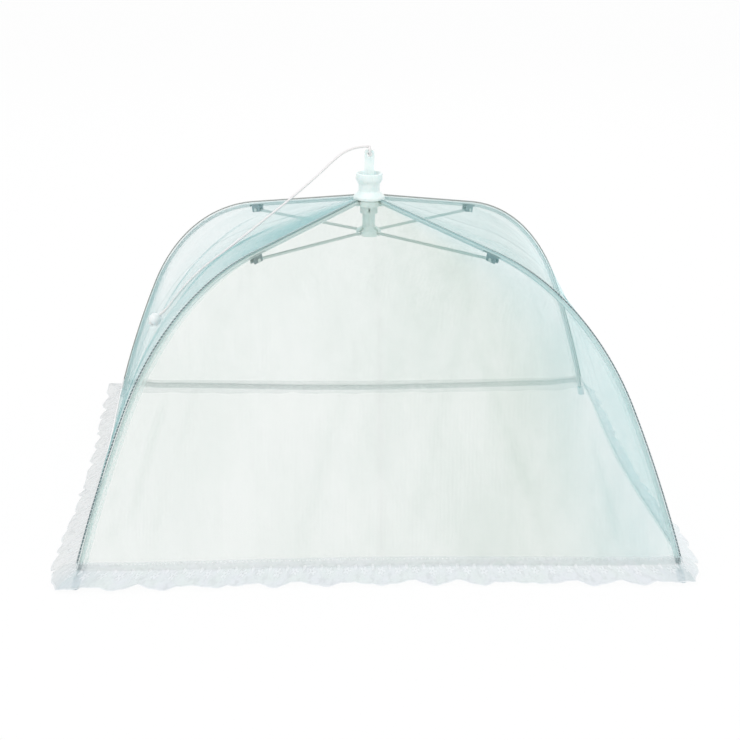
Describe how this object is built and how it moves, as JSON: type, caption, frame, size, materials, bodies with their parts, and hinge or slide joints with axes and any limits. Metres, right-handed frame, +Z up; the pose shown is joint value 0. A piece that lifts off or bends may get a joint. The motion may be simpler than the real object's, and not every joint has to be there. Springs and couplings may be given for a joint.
{
  "type": "mesh food cover umbrella",
  "caption": "Square folding net cover that stands open over food on sprung ribs, with a slotted crown, runner and stretchers, a lace hem and a pull cord with a bead.",
  "frame": {"origin": "middle of the square of feet, on the table", "axes": "+Z up through the crown, -Y to the front of the picture, +X to its right"},
  "size_m": [0.4532, 0.4532, 0.2748],
  "materials": {
    "white_plastic": "glossy, slightly milky moulded plastic",
    "dark_wire": "dark lacquered spring wire",
    "grey_steel": "plain grey rolled steel",
    "dark_clip": "dark crimped clip, satin",
    "foot_plastic": "soft matte cap",
    "aqua_net": "sheer pale aqua tulle net",
    "blue_tape": "woven blue-grey casing tape with stitching",
    "white_lace": "white figured lace trim",
    "grey_cord": "thin braided cord",
    "white_bead": "smooth glossy bead"
  },
  "bodies": {
    "crown": {"crown_cap": "white_plastic", "crown_hub": "white_plastic", "crown_ring": "grey_steel"},
    "runner": {"runner": "white_plastic", "post": "white_plastic", "cord_loop": "grey_cord"},
    "rib_front_left": {"rib_front_left": "dark_wire", "rib_clip_front_left": "dark_clip", "clip_rivet_front_left": "grey_steel", "foot_cap_front_left": "foot_plastic", "rib_tape_front_left": "blue_tape"},
    "stretcher_front_left": {"stretcher_front_left": "grey_steel"},
    "rib_front_right": {"rib_front_right": "dark_wire", "rib_clip_front_right": "dark_clip", "clip_rivet_front_right": "grey_steel", "foot_cap_front_right": "foot_plastic", "rib_tape_front_right": "blue_tape"},
    "stretcher_front_right": {"stretcher_front_right": "grey_steel"},
    "rib_back_left": {"rib_back_left": "dark_wire", "rib_clip_back_left": "dark_clip", "clip_rivet_back_left": "grey_steel", "foot_cap_back_left": "foot_plastic", "rib_tape_back_left": "blue_tape"},
    "stretcher_back_left": {"stretcher_back_left": "grey_steel"},
    "rib_back_right": {"rib_back_right": "dark_wire", "rib_clip_back_right": "dark_clip", "clip_rivet_back_right": "grey_steel", "foot_cap_back_right": "foot_plastic", "rib_tape_back_right": "blue_tape"},
    "stretcher_back_right": {"stretcher_back_right": "grey_steel"},
    "net_front_left": {"gore_front_left": "aqua_net", "lace_front_left": "white_lace"},
    "net_front_right": {"gore_front_right": "aqua_net", "lace_front_right": "white_lace"},
    "net_right_front": {"gore_right_front": "aqua_net", "lace_right_front": "white_lace"},
    "net_right_back": {"gore_right_back": "aqua_net", "lace_right_back": "white_lace"},
    "net_back_right": {"gore_back_right": "aqua_net", "lace_back_right": "white_lace"},
    "net_back_left": {"gore_back_left": "aqua_net", "lace_back_left": "white_lace"},
    "net_left_back": {"gore_left_back": "aqua_net", "lace_left_back": "white_lace"},
    "net_left_front": {"gore_left_front": "aqua_net", "lace_left_front": "white_lace"},
    "pull_cord": {"pull_cord": "grey_cord"},
    "cord_bead": {"cord_bead": "white_bead"}
  },
  "joints": [
    {"name": "runner_slide", "type": "slide", "parent": "crown", "child": "runner", "axis": [0, 0, 1], "range_m": [-0.17992, 0]},
    {"name": "rib_hinge_front_left", "type": "hinge", "parent": "crown", "child": "rib_front_left", "pos_m": [-0.00658, -0.00658, 0.2318], "axis": [0.7071, -0.7071, 0], "range_deg": [0, 49.02]},
    {"name": "stretcher_hinge_front_left", "type": "hinge", "parent": "rib_front_left", "child": "stretcher_front_left", "pos_m": [-0.08755, -0.08755, 0.205], "axis": [0.7071, -0.7071, 0], "range_deg": [-110.88, 0]},
    {"name": "rib_hinge_front_right", "type": "hinge", "parent": "crown", "child": "rib_front_right", "pos_m": [0.00658, -0.00658, 0.2318], "axis": [0.7071, 0.7071, 0], "range_deg": [0, 49.02]},
    {"name": "stretcher_hinge_front_right", "type": "hinge", "parent": "rib_front_right", "child": "stretcher_front_right", "pos_m": [0.08755, -0.08755, 0.205], "axis": [0.7071, 0.7071, 0], "range_deg": [-110.88, 0]},
    {"name": "rib_hinge_back_left", "type": "hinge", "parent": "crown", "child": "rib_back_left", "pos_m": [-0.00658, 0.00658, 0.2318], "axis": [-0.7071, -0.7071, 0], "range_deg": [0, 49.02]},
    {"name": "stretcher_hinge_back_left", "type": "hinge", "parent": "rib_back_left", "child": "stretcher_back_left", "pos_m": [-0.08755, 0.08755, 0.205], "axis": [-0.7071, -0.7071, 0], "range_deg": [-110.88, 0]},
    {"name": "rib_hinge_back_right", "type": "hinge", "parent": "crown", "child": "rib_back_right", "pos_m": [0.00658, 0.00658, 0.2318], "axis": [-0.7071, 0.7071, 0], "range_deg": [0, 49.02]},
    {"name": "stretcher_hinge_back_right", "type": "hinge", "parent": "rib_back_right", "child": "stretcher_back_right", "pos_m": [0.08755, 0.08755, 0.205], "axis": [-0.7071, 0.7071, 0], "range_deg": [-110.88, 0]},
    {"name": "net_fold_front_left", "type": "hinge", "parent": "rib_front_left", "child": "net_front_left", "pos_m": [-0.00658, -0.00658, 0.2318], "axis": [-0.1606, 0.9534, -0.2555], "range_deg": [0, 34.59], "deforming": ["gore_front_left", "lace_front_left"]},
    {"name": "net_fold_front_right", "type": "hinge", "parent": "rib_front_right", "child": "net_front_right", "pos_m": [0.00658, -0.00658, 0.2318], "axis": [-0.1606, -0.9534, 0.2555], "range_deg": [0, 34.59], "deforming": ["gore_front_right", "lace_front_right"]},
    {"name": "net_fold_right_front", "type": "hinge", "parent": "rib_front_right", "child": "net_right_front", "pos_m": [0.00658, -0.00658, 0.2318], "axis": [-0.9534, -0.1606, -0.2555], "range_deg": [0, 34.59], "deforming": ["gore_right_front", "lace_right_front"]},
    {"name": "net_fold_right_back", "type": "hinge", "parent": "rib_back_right", "child": "net_right_back", "pos_m": [0.00658, 0.00658, 0.2318], "axis": [0.9534, -0.1606, 0.2555], "range_deg": [0, 34.59], "deforming": ["gore_right_back", "lace_right_back"]},
    {"name": "net_fold_back_right", "type": "hinge", "parent": "rib_back_right", "child": "net_back_right", "pos_m": [0.00658, 0.00658, 0.2318], "axis": [0.1606, -0.9534, -0.2555], "range_deg": [0, 34.59], "deforming": ["gore_back_right", "lace_back_right"]},
    {"name": "net_fold_back_left", "type": "hinge", "parent": "rib_back_left", "child": "net_back_left", "pos_m": [-0.00658, 0.00658, 0.2318], "axis": [0.1606, 0.9534, 0.2555], "range_deg": [0, 34.59], "deforming": ["gore_back_left", "lace_back_left"]},
    {"name": "net_fold_left_back", "type": "hinge", "parent": "rib_back_left", "child": "net_left_back", "pos_m": [-0.00658, 0.00658, 0.2318], "axis": [0.9534, 0.1606, -0.2555], "range_deg": [0, 34.59], "deforming": ["gore_left_back", "lace_left_back"]},
    {"name": "net_fold_left_front", "type": "hinge", "parent": "rib_front_left", "child": "net_left_front", "pos_m": [-0.00658, -0.00658, 0.2318], "axis": [-0.9534, 0.1606, 0.2555], "range_deg": [0, 34.59], "deforming": ["gore_left_front", "lace_left_front"]},
    {"name": "cord_draw", "type": "slide", "parent": "crown", "child": "pull_cord", "axis": [0, 0, 1], "range_m": [-0.02251, 0], "deforming": ["pull_cord"]},
    {"name": "bead_draw", "type": "slide", "parent": "crown", "child": "cord_bead", "axis": [0.8419, 0.3661, 0.3965], "range_m": [0, 0.1447]}
  ],
  "couplings": [
    {"joint": "rib_hinge_front_left", "follows": "runner_slide", "rad_per_m": -4.7533},
    {"joint": "stretcher_hinge_front_left", "follows": "runner_slide", "rad_per_m": 10.754},
    {"joint": "rib_hinge_front_right", "follows": "runner_slide", "rad_per_m": -4.7533},
    {"joint": "stretcher_hinge_front_right", "follows": "runner_slide", "rad_per_m": 10.754},
    {"joint": "rib_hinge_back_left", "follows": "runner_slide", "rad_per_m": -4.7533},
    {"joint": "stretcher_hinge_back_left", "follows": "runner_slide", "rad_per_m": 10.754},
    {"joint": "rib_hinge_back_right", "follows": "runner_slide", "rad_per_m": -4.7533},
    {"joint": "stretcher_hinge_back_right", "follows": "runner_slide", "rad_per_m": 10.754},
    {"joint": "net_fold_front_left", "follows": "runner_slide", "rad_per_m": -3.3531},
    {"joint": "net_fold_front_right", "follows": "runner_slide", "rad_per_m": -3.3531},
    {"joint": "net_fold_right_front", "follows": "runner_slide", "rad_per_m": -3.3531},
    {"joint": "net_fold_right_back", "follows": "runner_slide", "rad_per_m": -3.3531},
    {"joint": "net_fold_back_right", "follows": "runner_slide", "rad_per_m": -3.3531},
    {"joint": "net_fold_back_left", "follows": "runner_slide", "rad_per_m": -3.3531},
    {"joint": "net_fold_left_back", "follows": "runner_slide", "rad_per_m": -3.3531},
    {"joint": "net_fold_left_front", "follows": "runner_slide", "rad_per_m": -3.3531},
    {"joint": "cord_draw", "follows": "runner_slide", "ratio": 0.12506},
    {"joint": "bead_draw", "follows": "runner_slide", "ratio": -0.80413}
  ]
}
